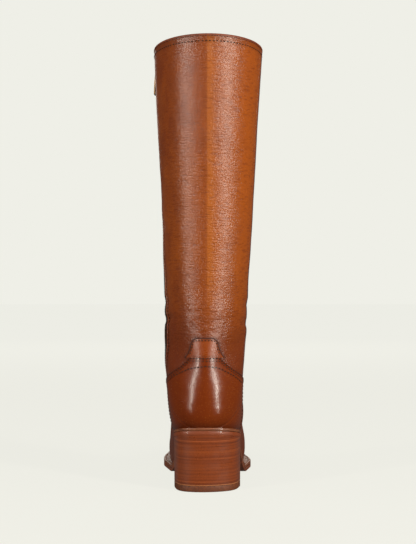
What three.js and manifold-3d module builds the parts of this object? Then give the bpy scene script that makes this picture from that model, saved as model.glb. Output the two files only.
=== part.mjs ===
// A right knee-high boot on a stacked block heel, in millimetres.
// +Z is up, the toe points along +Y and the outer (lateral) side of the foot is +X.
// The origin is on the floor, at the middle of the heel's ground face.
import * as THREE from 'three';
import { mergeVertices } from 'three/addons/utils/BufferGeometryUtils.js';
import Module from 'manifold-3d';

const wasm = await Module();
wasm.setup();

// ---------------------------------------------------------------- driving dimensions
const HEEL_HEIGHT = 58.2;    // floor to the underside of the sole, at the back of the heel
const TOE_END = 229;         // front of the sole
const HEEL_END = -36.5;      // back of the sole
const SEAT_SLOPE = 0.2;      // how fast the heel seat falls towards the toe
const HEEL_FRONT = 28;       // front face of the heel, where the waist of the sole begins
const TREAD_BACK = 100;      // the forefoot lies flat on the floor from here ...
const TREAD_FRONT = 152;     // ... to here
const TOE_SPRING = 10;       // lift of the sole's underside at the tip of the toe
const HEEL_TAPER = 0.915;    // length of the heel's ground face over that of the seat
const HEEL_WAISTING = 0.995; // and the same for its width

const GAP = 0.3;             // clearance between pieces that touch
const LEATHER = 2.0;         // wall of the upper, with its lining
const COUNTER = 1.4;         // heel counter
const TAB = 1.0;             // back tab, thinner than the counter
const OUTSOLE = 3.8;
const MIDSOLE = 2.8;         // its edge is the welt round the boot
const INSOLE = 3.2;          // insole board with its sock
const TOP_PIECE = 6.2;       // rubber under the heel
const SOLE_INSET = 0.5;      // the heel stands this far inside the edge of the sole
const SEAT_MARGIN = 2;       // its front corners keep this far from the next point of the outline

const TAB_TOP = 153;         // floor to the top of the back tab
const TAB_SEAM = 135.5;      // floor to the seam between the tab and the counter
const TAB_MIDDLE = -3.3;     // the back of the heel lies a little to the medial side
const TAB_TOP_HALF = 12.8;
const TAB_WAIST_HALF = 14.8; // half-way down its sides, which curve outwards into the counter
const TAB_SEAM_HALF = 19;
const TAB_CORNER = 4.2;      // radius of its top corners

const ZIP_WIDTH = 9;         // tape and teeth that show between the two leather edges
const ZIP_THICK = 0.9;
const SLIDER_HEIGHT = 432;   // floor to the middle of the slider, with the zip closed
const SLIDER_LENGTH = 10.4;
const SLIDER_WIDTH = 7.6;
const SLIDER_THICK = 2.2;
const BRIDGE_LENGTH = 8.4;   // the bridge that holds the pull
const BRIDGE_WIDTH = 2.4;
const BRIDGE_RISE = 3.2;
const TUNNEL_LENGTH = 3.4;   // the opening under the bridge
const TUNNEL_RISE = 2.5;
const PIN_RADIUS = 0.7;      // cross bar of the pull
const PULL_THICK = 1.2;
const PULL_WIDTH = 7;
const PULL_WINDOW = 3.9;     // inner width of the pull, round the bridge
const PULL_TOP = 5.4;        // pin to the top of the solid blade
const PULL_CROWN = 0.7;      // what stands above the middle of the pin
const PULL_LENGTH = 25;

const REACH = 80;            // half-width of a cutter that goes past both sides
const OUTLINE_POINTS = 112;  // round the sole
const FEATHER = OUTSOLE + GAP + MIDSOLE + GAP;   // sole's underside to the upper's lower edge

// ---------------------------------------------------------------- tables
// Sections of the upper, from the toe box to the collar. Each lies in a plane across the boot that
// goes from its low point (under the foot, then the back of the leg) to its high point (instep,
// then shin). wide is the share of that way at which it is widest, medial and lateral are its reach
// to each side there. front and back are the squareness of its two halves, 2 being an ellipse: the
// back of the ankle is narrower than that.
const SECTION_COLUMNS = [
  'lowY', 'lowZ', 'highY', 'highZ', 'wide', 'medial', 'lateral', 'front', 'back',
];
const SECTIONS = [
  ['toe box',     184, -16, 186, 51, 0.54, 42.0, 33.0, 2.3, 2.3],
  ['toes',        164, -20, 167, 56, 0.53, 43.4, 38.0, 2.25, 2.25],
  ['ball',        138, -24, 144, 63, 0.52, 43.6, 41.0, 2.2, 2.2],
  ['joint',       108, -22, 121, 75, 0.51, 42.3, 41.6, 2.1, 2.1],
  ['waist',       72, -4, 103, 90, 0.50, 40.7, 38.8, 2.05, 2.05],
  ['instep',      38, 16, 90, 106, 0.48, 39.2, 36.6, 2.05, 2.05],
  ['long heel',   4, 33, 80, 123, 0.46, 38.8, 37.6, 2.1, 2.1],
  ['heel corner', -23, 48, 73, 139, 0.44, 39.4, 35.4, 2.15, 2.15],
  ['heel curve',  -36, 70, 68, 153, 0.44, 40.9, 35.2, 2.15, 2.08],
  ['counter',     -38, 96, 65, 168, 0.46, 42.7, 37.1, 2.1, 1.8],
  ['ankle',       -35, 126, 63, 185, 0.48, 43.0, 39.2, 2.05, 1.5],
  ['tendon',      -33, 160, 62, 205, 0.49, 43.0, 40.1, 2, 1.75],
  ['lower shaft', -33, 205, 62, 232, 0.49, 44.0, 42.2, 2, 1.95],
  ['calf',        -36, 270, 65, 282, 0.49, 46.0, 46.0, 2, 2],
  ['upper calf',  -40, 350, 72, 354, 0.49, 51.0, 50.2, 2, 2],
  ['shaft top',   -41, 418, 79, 411, 0.49, 54.2, 54.2, 2, 2],
  ['collar',      -41, 456, 84, 443, 0.49, 55.5, 56.8, 2, 2],
].map(([name, ...values]) => ({
  name,
  ...Object.fromEntries(SECTION_COLUMNS.map((column, i) => [column, values[i]])),
}));

// The sole's outline in plan, round from the tip of the toe by the lateral side.
const SOLE_OUTLINE = [
  { at: 'toe tip',          x: -9,    y: 229 },
  { at: 'small toes',       x: 14,    y: 219 },
  { at: 'little toe',       x: 35.0,  y: 192 },
  { at: 'lateral forefoot', x: 45.6,  y: 164 },
  { at: 'lateral ball',     x: 48.8,  y: 134 },
  { at: 'lateral joint',    x: 43.0,  y: 102 },
  { at: 'lateral waist',    x: 36.0,  y: 64 },
  { at: 'lateral breast',   x: 33.6,  y: 26 },
  { at: 'lateral seat',     x: 33.6,  y: 0 },
  { at: 'lateral back',     x: 24.5,  y: -25.5 },
  { at: 'back',             x: -4,    y: -36.5 },
  { at: 'medial back',      x: -26.5, y: -29.5 },
  { at: 'medial seat',      x: -34.2, y: -6 },
  { at: 'medial breast',    x: -33.6, y: 24 },
  { at: 'medial waist',     x: -32.5, y: 58 },
  { at: 'medial joint',     x: -40.5, y: 98 },
  { at: 'medial ball',      x: -49.8, y: 143 },
  { at: 'medial forefoot',  x: -47.3, y: 180 },
  { at: 'big toe',          x: -33.0, y: 213 },
];

// The counter's edge in side view, from the back tab down to the sole. It is the same on each side.
const COUNTER_EDGE = [
  { at: 'tab corner',   y: -33, z: 135.5 },
  { at: 'flare',        y: -25, z: 126 },
  { at: 'side',         y: -12, z: 118 },
  { at: 'front corner', y: 4,   z: 111 },
  { at: 'front',        y: 9.5, z: 97 },
  { at: 'foot',         y: 13,  z: 40 },
];

// The zip's middle line in side view.
const ZIP_LINE = [
  { at: 'bottom stop', y: 14, z: 101 },
  { at: 'ankle',       y: 7,  z: 150 },
  { at: 'lower shaft', y: 11, z: 215 },
  { at: 'calf',        y: 27, z: 310 },
  { at: 'top',         y: 50, z: 445 },
];

// ---------------------------------------------------------------- curves
// A smooth curve through values at given knots, with slopes taken from the neighbours.
function through(knots, values, at) {
  const last = knots.length - 1;
  const slope = (i) => {
    const a = Math.max(i - 1, 0), b = Math.min(i + 1, last);
    return (values[b] - values[a]) / (knots[b] - knots[a]);
  };
  let i = 0;
  while (i < last - 1 && at > knots[i + 1]) i++;
  const span = knots[i + 1] - knots[i];
  const u = (at - knots[i]) / span;
  const from = (2 * u - 3) * u * u + 1, leave = ((u - 2) * u + 1) * u, arrive = (u - 1) * u * u;
  return from * values[i] + (1 - from) * values[i + 1]
    + span * (leave * slope(i) + arrive * slope(i + 1));
}

// Height of the sole's underside at y: toe spring, flat tread, the curve of the waist, and the seat.
function underside(y) {
  if (y > TREAD_FRONT) return TOE_SPRING * ((y - TREAD_FRONT) / (TOE_END - TREAD_FRONT)) ** 2;
  if (y > TREAD_BACK) return 0;
  const seat = HEEL_HEIGHT - SEAT_SLOPE * (HEEL_FRONT - HEEL_END);
  if (y < HEEL_FRONT) return seat + SEAT_SLOPE * (HEEL_FRONT - y);
  const length = TREAD_BACK - HEEL_FRONT;
  const u = (y - HEEL_FRONT) / length;
  return seat * ((2 * u - 3) * u * u + 1) - SEAT_SLOPE * length * ((u - 2) * u + 1) * u;
}

// The underside as points [y, z], moved up square to itself by a distance.
function soleLine(raised) {
  const stations = [-70, HEEL_FRONT - 14];
  for (let y = HEEL_FRONT; y < TREAD_BACK; y += 8.3) stations.push(y);
  stations.push(TREAD_BACK, TREAD_FRONT);
  for (let y = TREAD_FRONT + 9; y < TOE_END + 30; y += 9) stations.push(y);
  return stations.map((y) => {
    const slope = (underside(y + 0.01) - underside(y - 0.01)) / 0.02;
    const flat = y === TREAD_BACK || y === TREAD_FRONT;
    const lean = flat ? 0 : Math.atan(slope);
    return [y - raised * Math.sin(lean), underside(y) + raised * Math.cos(lean)];
  });
}

// ---------------------------------------------------------------- solids
function solidOf(geometry) {
  const bare = new THREE.BufferGeometry().setIndex(geometry.index)
    .setAttribute('position', geometry.getAttribute('position'));
  const merged = mergeVertices(bare, 1e-4);
  return new wasm.Manifold(new wasm.Mesh({
    numProp: 3,
    vertProperties: new Float32Array(merged.getAttribute('position').array),
    triVerts: new Uint32Array(merged.index.array),
  }));
}

function geometryOf(solid) {
  const mesh = solid.getMesh();
  const positions = [];
  for (const v of mesh.triVerts) {
    for (let k = 0; k < 3; k++) positions.push(mesh.vertProperties[v * mesh.numProp + k]);
  }
  const geometry = new THREE.BufferGeometry();
  geometry.setAttribute('position', new THREE.Float32BufferAttribute(positions, 3));
  geometry.computeVertexNormals();
  return geometry;
}

// A closed skin over rings of points, with a flat or pointed lid on each end.
function loftOf(rings) {
  const around = rings[0].length;
  const positions = rings.flat(2);
  const index = [];
  for (let i = 0; i < rings.length - 1; i++) {
    for (let j = 0; j < around; j++) {
      const a = i * around + j, b = i * around + (j + 1) % around;
      index.push(a, b, b + around, a, b + around, a + around);
    }
  }
  for (const [ring, first] of [[0, 0], [rings.length - 1, (rings.length - 1) * around]]) {
    const centre = positions.length / 3;
    for (let k = 0; k < 3; k++) {
      positions.push(rings[ring].reduce((sum, p) => sum + p[k], 0) / around);
    }
    for (let j = 0; j < around; j++) {
      const a = first + j, b = first + (j + 1) % around;
      index.push(...(ring === 0 ? [b, a, centre] : [a, b, centre]));
    }
  }
  const geometry = new THREE.BufferGeometry();
  geometry.setAttribute('position', new THREE.Float32BufferAttribute(positions, 3));
  geometry.setIndex(index);
  return solidOf(geometry);
}

// A cutter with the side-view outline [y, z], from x = left to x = right.
function sidePrism(points, left, right) {
  const shape = new THREE.Shape(points.map(([y, z]) => new THREE.Vector2(y, z)));
  const geometry = new THREE.ExtrudeGeometry(shape, { depth: right - left, bevelEnabled: false });
  const turn = new THREE.Matrix4().makeBasis(
    new THREE.Vector3(0, 1, 0), new THREE.Vector3(0, 0, 1), new THREE.Vector3(1, 0, 0));
  geometry.applyMatrix4(turn).translate(left, 0, 0);
  return solidOf(geometry);
}

// A cutter with the back-view outline [x, z], from y = near to y = far.
function backPrism(points, near, far) {
  const shape = new THREE.Shape(points.map(([x, z]) => new THREE.Vector2(x, z)));
  const geometry = new THREE.ExtrudeGeometry(shape, { depth: far - near, bevelEnabled: false });
  const turn = new THREE.Matrix4().makeBasis(
    new THREE.Vector3(1, 0, 0), new THREE.Vector3(0, 0, 1), new THREE.Vector3(0, -1, 0));
  geometry.applyMatrix4(turn).translate(0, far, 0);
  return solidOf(geometry);
}

// A standing prism over a plan outline [x, y].
function planPrism(points, bottom, top) {
  const shape = new THREE.Shape(points.map(([x, y]) => new THREE.Vector2(x, y)));
  const geometry = new THREE.ExtrudeGeometry(shape, { depth: top - bottom, bevelEnabled: false });
  return solidOf(geometry.translate(0, 0, bottom));
}

// All that lies between two lines parallel to the sole's underside.
function soleSlab(bottom, top) {
  return sidePrism([...soleLine(bottom), ...soleLine(top).reverse()], -REACH, REACH);
}

const roundCurve = (points, count) => new THREE.CatmullRomCurve3(
  points.map(([a, b]) => new THREE.Vector3(a, b, 0)), false, 'centripetal')
  .getPoints(count).map((p) => [p.x, p.y]);

// ---------------------------------------------------------------- the last
const AROUND = 40;
const RINGS = 38;
const NOSE_RINGS = 5;
const NOSE_LENGTH = 39;      // the toe box closes over this length
const NOSE_POWER = 2.1;      // and its squareness in plan
const NOSE_TIP = 0.49;       // share of a half turn at its last ring, just short of a point

const knots = SECTIONS.reduce((all, row, i) => {
  if (i === 0) return [0];
  const before = SECTIONS[i - 1];
  const low = Math.hypot(row.lowY - before.lowY, row.lowZ - before.lowZ);
  const high = Math.hypot(row.highY - before.highY, row.highZ - before.highZ);
  return [...all, all[i - 1] + (low + high) / 2];
}, []);

function sectionAt(share) {
  const at = share * knots[knots.length - 1];
  const row = {};
  for (const column of SECTION_COLUMNS) {
    row[column] = through(knots, SECTIONS.map((s) => s[column]), at);
  }
  return row;
}

// One ring of the last, grown square to its own outline. shrink and forward shape the nose.
function ringOf(row, grow, shrink = 1, forward = 0) {
  const length = Math.hypot(row.highY - row.lowY, row.highZ - row.lowZ);
  const upY = (row.highY - row.lowY) / length, upZ = (row.highZ - row.lowZ) / length;
  const below = row.wide * length, above = length - below;
  const centreX = (row.lateral - row.medial) / 2, half = (row.lateral + row.medial) / 2;
  const centreY = row.lowY + upY * below, centreZ = row.lowZ + upZ * below;
  const ring = [];
  for (let j = 0; j < AROUND; j++) {
    const a = (j / AROUND) * 2 * Math.PI;
    const side = Math.cos(a), up = Math.sin(a);
    const squareness = up > 0 ? row.front : row.back;
    const rounded = (v) => Math.sign(v) * Math.abs(v) ** (2 / squareness);
    const across = shrink * (half + grow) * rounded(side);
    const along = shrink * ((up > 0 ? above : below) + grow) * rounded(up);
    ring.push([
      centreX + across,
      centreY + along * upY + forward,
      centreZ + along * upZ + forward * 0.02,
    ]);
  }
  return ring;
}

// The whole last, grown by a distance all round, and stretched upwards past the collar if asked.
function lastGrownBy(grow, overCollar = 0) {
  const rings = [];
  const toe = sectionAt(0);
  for (let i = NOSE_RINGS; i > 0; i--) {
    const u = Math.sin((i / NOSE_RINGS) * NOSE_TIP * Math.PI);
    const shrink = (1 - u ** NOSE_POWER) ** (1 / NOSE_POWER);
    rings.push(ringOf(toe, grow, shrink, u * (NOSE_LENGTH + grow)));
  }
  for (let i = 0; i <= RINGS; i++) rings.push(ringOf(sectionAt(i / RINGS), grow));
  if (overCollar) rings.push(ringOf(sectionAt(1), grow).map(([x, y, z]) => [x, y, z + overCollar]));
  return loftOf(rings);
}

// A shell over the last, from one offset to another.
const coat = (from, to) => lastGrownBy(to, REACH).subtract(lastGrownBy(from, 2 * REACH));

// ---------------------------------------------------------------- upper and what lies on it
const belowFeather = soleSlab(-REACH, FEATHER);
const upper = lastGrownBy(0).subtract(lastGrownBy(-LEATHER, REACH)).subtract(belowFeather);

const counterEdge = roundCurve(COUNTER_EDGE.map(({ y, z }) => [y, z]), 20);
const counterSide = sidePrism([...counterEdge, [-REACH, 40], [-REACH, TAB_SEAM]], -REACH, REACH);
const counter = coat(GAP, GAP + COUNTER).intersect(counterSide).subtract(belowFeather);

const tabWaist = (TAB_SEAM + TAB_TOP) / 2;
const tabHalf = [
  ...roundCurve([
    [TAB_SEAM_HALF, TAB_SEAM + GAP],
    [TAB_WAIST_HALF, tabWaist],
    [TAB_TOP_HALF, TAB_TOP - TAB_CORNER],
  ], 6),
  [TAB_TOP_HALF - TAB_CORNER * 0.3, TAB_TOP - TAB_CORNER * 0.3],
  [TAB_TOP_HALF - TAB_CORNER, TAB_TOP],
];
const tabOutline = [
  ...tabHalf.map(([x, z]) => [TAB_MIDDLE + x, z]),
  ...tabHalf.map(([x, z]) => [TAB_MIDDLE - x, z]).reverse(),
];
const tab = coat(GAP, GAP + TAB).intersect(backPrism(tabOutline, -REACH, 0));

const zipMiddle = roundCurve(ZIP_LINE.map(({ y, z }) => [y, z]), 16);
const besideZip = (offset) => zipMiddle.map(([y, z]) => [y + offset, z]);
const zipSide = [...besideZip(ZIP_WIDTH / 2), ...besideZip(-ZIP_WIDTH / 2).reverse()];
const zip = coat(GAP, GAP + ZIP_THICK).intersect(sidePrism(zipSide, -REACH, 0));

const insole = lastGrownBy(-LEATHER - GAP).intersect(soleSlab(FEATHER, FEATHER + INSOLE));

// ---------------------------------------------------------------- sole and heel
const soleOutline = new THREE.CatmullRomCurve3(
  SOLE_OUTLINE.map(({ x, y }) => new THREE.Vector3(x, y, 0)), true, 'centripetal')
  .getPoints(OUTLINE_POINTS).slice(0, -1).map((p) => [p.x, p.y]).reverse();
const soleColumn = planPrism(soleOutline, -5, 90);
const outsole = soleColumn.intersect(soleSlab(0, OUTSOLE));
const midsole = soleColumn.intersect(soleSlab(OUTSOLE + GAP, OUTSOLE + GAP + MIDSOLE));

// The heel's ring at a height: the seat's outline, drawn in towards the front face further down.
function heelRing(z) {
  const down = 1 - z / HEEL_HEIGHT;
  const shorter = 1 - (1 - HEEL_TAPER) * down;
  const seat = soleOutline.filter(([, y]) => y < HEEL_FRONT - SEAT_MARGIN);
  const halfSeat = Math.max(...seat.map(([x]) => x));
  const narrower = (1 - (1 - HEEL_WAISTING) * down) * (1 - SOLE_INSET / halfSeat);
  const closed = [
    [seat[0][0], HEEL_FRONT],
    ...seat,
    [seat[seat.length - 1][0], HEEL_FRONT],
  ];
  return closed.map(([x, y]) => [
    x * narrower, HEEL_FRONT - (HEEL_FRONT - y) * shorter + SOLE_INSET, z]);
}
const heelColumn = (bottom, top) => loftOf([heelRing(bottom), heelRing(top)]);
const heelBlock = heelColumn(TOP_PIECE + GAP, HEEL_HEIGHT + 10)
  .subtract(soleSlab(-GAP, REACH));
const topPiece = heelColumn(0, TOP_PIECE);

// ---------------------------------------------------------------- slider and pull of the zip
// They are drawn standing: x is outwards from the zip's face, y across it, and z up along it.
function blockOf(lengthX, lengthY, lengthZ, x, y, z) {
  return solidOf(new THREE.BoxGeometry(lengthX, lengthY, lengthZ).translate(x, y, z));
}

// Where the zip's middle line meets the outside of its teeth, at the slider's height.
const zipKnots = ZIP_LINE.map(({ z }) => z), zipYs = ZIP_LINE.map(({ y }) => y);
const zipY = through(zipKnots, zipYs, SLIDER_HEIGHT);
const zipLean = through(zipKnots, zipYs, SLIDER_HEIGHT + 1) - zipY;
const toothFace = GAP + ZIP_THICK;
const probe = coat(GAP, toothFace).intersect(
  blockOf(REACH, 0.2, 0.2, -REACH / 2 - 1, zipY, SLIDER_HEIGHT));
const zipX = probe.boundingBox().min[0];
const shaftRow = sectionAt(0.97);
const shaftMiddle = shaftRow.lowY + shaftRow.wide * (shaftRow.highY - shaftRow.lowY);
const shaftDepth = (shaftRow.highY - shaftRow.lowY) / 2;
const outwards = new THREE.Vector3(
  zipX / shaftRow.medial ** 2, (zipY - shaftMiddle) / shaftDepth ** 2, 0).normalize();
const upwards = new THREE.Vector3(-outwards.y * -zipLean, outwards.x * -zipLean, 1).normalize();
const across = new THREE.Vector3().crossVectors(upwards, outwards);
const stand = new THREE.Matrix4().makeBasis(outwards, across, upwards)
  .setPosition(zipX, zipY, SLIDER_HEIGHT);
const onZip = (solid) => solidOf(geometryOf(solid).applyMatrix4(stand));

const sliderFace = GAP + SLIDER_THICK + 0.2;
const pinX = sliderFace + TUNNEL_RISE / 2;
const sinks = 3;             // the body starts this far in, and is then cut back to the teeth
const sliderBody = blockOf(
  sliderFace + sinks, SLIDER_WIDTH, SLIDER_LENGTH, (sliderFace - sinks) / 2, 0, 0);
const bridge = blockOf(
  BRIDGE_RISE + 1, BRIDGE_WIDTH, BRIDGE_LENGTH, sliderFace + (BRIDGE_RISE - 1) / 2, 0, 0);
const tunnel = blockOf(TUNNEL_RISE, BRIDGE_WIDTH + 2, TUNNEL_LENGTH, pinX, 0, 0);
const slider = onZip(sliderBody.add(bridge).subtract(tunnel))
  .subtract(lastGrownBy(toothFace + GAP, REACH));

const blade = [
  [-PULL_WIDTH / 2, PULL_CROWN], [-PULL_WIDTH / 2, -PULL_LENGTH * 0.45],
  [-PULL_WIDTH * 0.36, -PULL_LENGTH * 0.94], [-PULL_WIDTH * 0.2, -PULL_LENGTH],
  [PULL_WIDTH * 0.2, -PULL_LENGTH], [PULL_WIDTH * 0.36, -PULL_LENGTH * 0.94],
  [PULL_WIDTH / 2, -PULL_LENGTH * 0.45], [PULL_WIDTH / 2, PULL_CROWN],
];
const pin = solidOf(new THREE.CylinderGeometry(PIN_RADIUS, PIN_RADIUS, PULL_WIDTH - 1, 16)
  .translate(pinX, 0, 0));
const pull = onZip(sidePrism(blade, pinX - PULL_THICK / 2, pinX + PULL_THICK / 2)
  .subtract(blockOf(PULL_THICK * 4, PULL_WINDOW, PULL_TOP + 2, pinX, 0, 1 - PULL_TOP / 2))
  .add(pin));

// ---------------------------------------------------------------- the boot
const boot = new THREE.Group();

function piece(name, solid, color, roughness, metalness = 0) {
  const material = new THREE.MeshStandardMaterial({ color, roughness, metalness });
  const mesh = new THREE.Mesh(geometryOf(solid), material);
  mesh.name = name;
  boot.add(mesh);
}

piece('upper', upper, 0xa5561f, 0.45);
piece('heel_counter', counter, 0x9c4f1c, 0.35);
piece('back_tab', tab, 0xa8591f, 0.5);
piece('zip_strip', zip, 0x2a1a12, 0.6);
piece('zip_slider', slider, 0x8a7a5c, 0.35, 0.9);
piece('zip_pull', pull, 0x8a7a5c, 0.35, 0.9);
piece('insole', insole, 0xc9a77b, 0.7);
piece('midsole', midsole, 0xb98552, 0.55);
piece('outsole', outsole, 0x5a3320, 0.6);
piece('heel_block', heelBlock, 0x7a4526, 0.5);
piece('top_lift', topPiece, 0x3b2418, 0.7);

export default boot;
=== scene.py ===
import math

import bmesh
import bpy
from mathutils import Matrix, Vector, kdtree, noise
from mathutils.bvhtree import BVHTree


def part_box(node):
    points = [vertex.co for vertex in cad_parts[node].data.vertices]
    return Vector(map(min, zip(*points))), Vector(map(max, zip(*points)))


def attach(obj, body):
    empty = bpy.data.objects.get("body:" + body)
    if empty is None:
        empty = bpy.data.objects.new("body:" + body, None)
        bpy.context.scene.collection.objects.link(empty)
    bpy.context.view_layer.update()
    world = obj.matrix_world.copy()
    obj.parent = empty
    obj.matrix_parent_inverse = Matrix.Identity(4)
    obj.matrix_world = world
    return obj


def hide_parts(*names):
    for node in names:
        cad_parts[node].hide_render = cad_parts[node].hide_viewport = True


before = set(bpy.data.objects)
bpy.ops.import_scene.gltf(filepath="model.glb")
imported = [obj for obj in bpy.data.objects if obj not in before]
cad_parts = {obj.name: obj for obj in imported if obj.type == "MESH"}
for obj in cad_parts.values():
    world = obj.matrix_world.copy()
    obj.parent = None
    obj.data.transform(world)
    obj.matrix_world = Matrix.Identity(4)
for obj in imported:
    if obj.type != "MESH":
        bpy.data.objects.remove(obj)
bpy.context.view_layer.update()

MM = 0.001
BOOT, PULL = "boot", "pull"

# ------------------------------------------------------------------ the last, in millimetres
# Sections from the toe box to the collar, each in a plane across the boot from its low point to its
# high point. wide is the share of that way at which it is widest; medial and lateral are its reach
# there; front and back are the squareness of its halves.
SECTION_COLUMNS = (
    "low_y", "low_z", "high_y", "high_z", "wide", "medial", "lateral", "front", "back",
)
SECTIONS = [
    ("toe box", 184, -16, 186, 51, 0.54, 42.0, 33.0, 2.3, 2.3),
    ("toes", 164, -20, 167, 56, 0.53, 43.4, 38.0, 2.25, 2.25),
    ("ball", 138, -24, 144, 63, 0.52, 43.6, 41.0, 2.2, 2.2),
    ("joint", 108, -22, 121, 75, 0.51, 42.3, 41.6, 2.1, 2.1),
    ("waist", 72, -4, 103, 90, 0.50, 40.7, 38.8, 2.05, 2.05),
    ("instep", 38, 16, 90, 106, 0.48, 39.2, 36.6, 2.05, 2.05),
    ("long heel", 4, 33, 80, 123, 0.46, 38.8, 37.6, 2.1, 2.1),
    ("heel corner", -23, 48, 73, 139, 0.44, 39.4, 35.4, 2.15, 2.15),
    ("heel curve", -36, 70, 68, 153, 0.44, 40.9, 35.2, 2.15, 2.08),
    ("counter", -38, 96, 65, 168, 0.46, 42.7, 37.1, 2.1, 1.8),
    ("ankle", -35, 126, 63, 185, 0.48, 43.0, 39.2, 2.05, 1.5),
    ("tendon", -33, 160, 62, 205, 0.49, 43.0, 40.1, 2, 1.75),
    ("lower shaft", -33, 205, 62, 232, 0.49, 44.0, 42.2, 2, 1.95),
    ("calf", -36, 270, 65, 282, 0.49, 46.0, 46.0, 2, 2),
    ("upper calf", -40, 350, 72, 354, 0.49, 51.0, 50.2, 2, 2),
    ("shaft top", -41, 418, 79, 411, 0.49, 54.2, 54.2, 2, 2),
    ("collar", -41, 456, 84, 443, 0.49, 55.5, 56.8, 2, 2),
]
NOSE_LENGTH = 39
NOSE_POWER = 2.1
SHAFT_MIDDLE = 14    # distance forward of the middle of the leg, up to SHAFT_BEND
SHAFT_BEND = 220     # height above which the leg leans forward
SHAFT_LEAN = 0.032

HIDE = 1.2           # thickness of the outer leather
LINING = 0.7         # thickness of the lining inside it
COUNTER = 1.4
TAB_SEAM = 135.5     # floor to the seam between counter and back tab
TAB_TOP = 153
TAB_ROUND = 47       # radius of the ankle that the tab's widths are laid round
TAB_CORNER = 5.4     # how far the tab's top falls at its corners
STITCH_PITCH = 3.6
HEEL_AXIS = (-3.1, 14)   # x and y of the upright line that the counter turns round

# The counter's top edge: degrees round the heel from the middle of the back, and height.
COUNTER_TOP = [(0, 135.6), (18, 135.6), (21, 134.2), (26.5, 130.2), (35, 125.3), (44, 121.4),
               (55, 117.6), (72, 112.5), (80, 109.5), (84, 105)]
# The counter's front edge: height, and degrees round the heel.
COUNTER_FRONT = [(40, 89), (70, 87), (97, 85), (104, 83.5), (136, 80)]
# The tab's half-width at a height.
TAB_SIDE = [(134.3, 21.5), (136.5, 18.8), (139.5, 16.8), (143, 15.3), (147, 14.1), (153, 13.0)]
# The row of stitches that holds the inner counter: degrees round the heel, and height.
POCKET_ARCH = [(-64, 107), (-45, 114.5), (-34, 118.5), (-17, 123.8), (2, 126.3), (17, 124.2),
               (33, 118.2), (48, 112), (62, 106)]
# The zip's middle line in side view: height and distance forward.
ZIP_LINE = [(101, 14), (150, 7), (215, 11), (310, 27), (445, 50)]

# Folds in the leather. facing is the side of the boot they lie on, along is their middle on that
# side (x on the back and front, y on the sides) and reach their half-length; rise is how much they
# climb over a millimetre, and bow how much their ends droop.
FOLDS = [
    # name, facing, along, height, reach, depth, width, rise, bow
    ("ankle fold", "back", 8, 160.0, 11, 0.9, 1.2, 0.07, 0.012),
    ("ankle roll", "back", -11, 163.0, 11, 0.8, 1.2, -0.14, 0.010),
    ("ankle wrinkle", "back", -7, 168.0, 13, 0.95, 1.2, 0.08, 0.008),
    ("short ankle wrinkle", "back", 12, 166.0, 8, 0.7, 1.0, -0.10, 0.008),
    ("tendon crease", "back", 1, 173.0, 16, 0.8, 1.3, 0.03, 0.006),
    ("upper tendon crease", "back", -5, 180.0, 14, 0.62, 1.4, -0.05, 0.006),
    ("faint tendon crease", "back", 9, 188.0, 10, 0.4, 1.4, 0.05, 0.006),
    ("calf crease", "back", 13, 221.5, 12, 0.30, 1.1, 0.03, 0.004),
    ("small crease", "back", -11, 320.0, 5, 0.22, 1.2, 0.10, 0.010),
    ("small crease below", "back", -12, 309.0, 6, 0.22, 1.2, -0.08, 0.010),
    ("inner ankle fold", "medial", -6, 171.0, 20, 0.9, 3.4, -0.20, 0.004),
    ("inner ankle roll", "medial", -2, 189.0, 17, 0.6, 3.6, -0.14, 0.004),
    ("outer ankle fold", "lateral", -4, 167.0, 20, 0.9, 3.4, -0.20, 0.004),
    ("outer ankle roll", "lateral", 0, 186.0, 17, 0.6, 3.6, -0.14, 0.004),
    ("shin fold", "front", 0, 186.0, 27, 1.6, 4.2, 0.05, 0.006),
    ("instep fold", "front", 3, 169.0, 26, 1.9, 4.0, -0.05, 0.008),
    ("instep roll", "front", -2, 205.0, 22, 0.9, 4.6, 0.02, 0.006),
    ("tongue fold", "front", 0, 153.0, 22, 1.0, 3.4, 0.04, 0.010),
]
# Break of the vamp over the joints: distance forward, depth and width.
VAMP_BREAKS = [(118, 0.8, 3.6), (128, 0.55, 3.0), (138, 0.3, 2.8)]


def through(table, at):
    """A smooth curve through (at, value) rows."""
    last = len(table) - 1
    i = 0
    while i < last - 1 and at > table[i + 1][0]:
        i += 1
    slopes = []
    for k in (i, i + 1):
        a, b = table[max(k - 1, 0)], table[min(k + 1, last)]
        slopes.append((b[1] - a[1]) / (b[0] - a[0]))
    span = table[i + 1][0] - table[i][0]
    u = (at - table[i][0]) / span
    start = (2 * u - 3) * u * u + 1
    leave, arrive = ((u - 2) * u + 1) * u, (u - 1) * u * u
    return (start * table[i][1] + (1 - start) * table[i + 1][1]
            + span * (leave * slopes[0] + arrive * slopes[1]))


def straight(table, at):
    """Straight lines through (at, value) rows, level beyond both ends."""
    if at <= table[0][0]:
        return table[0][1]
    for (a, p), (b, q) in zip(table, table[1:]):
        if at <= b:
            return p + (q - p) * (at - a) / (b - a)
    return table[-1][1]


def section_curves():
    reach, curves = 0.0, {name: [] for name in SECTION_COLUMNS}
    for i, row in enumerate(SECTIONS):
        values = dict(zip(SECTION_COLUMNS, row[1:]))
        if i:
            before = dict(zip(SECTION_COLUMNS, SECTIONS[i - 1][1:]))
            low = math.hypot(values["low_y"] - before["low_y"], values["low_z"] - before["low_z"])
            high = math.hypot(
                values["high_y"] - before["high_y"], values["high_z"] - before["high_z"])
            reach += (low + high) / 2
        for name, value in values.items():
            curves[name].append((reach, value))
    return reach, curves


LAST_REACH, LAST_CURVES = section_curves()


def section(share):
    return {name: through(curve, share * LAST_REACH) for name, curve in LAST_CURVES.items()}


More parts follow.
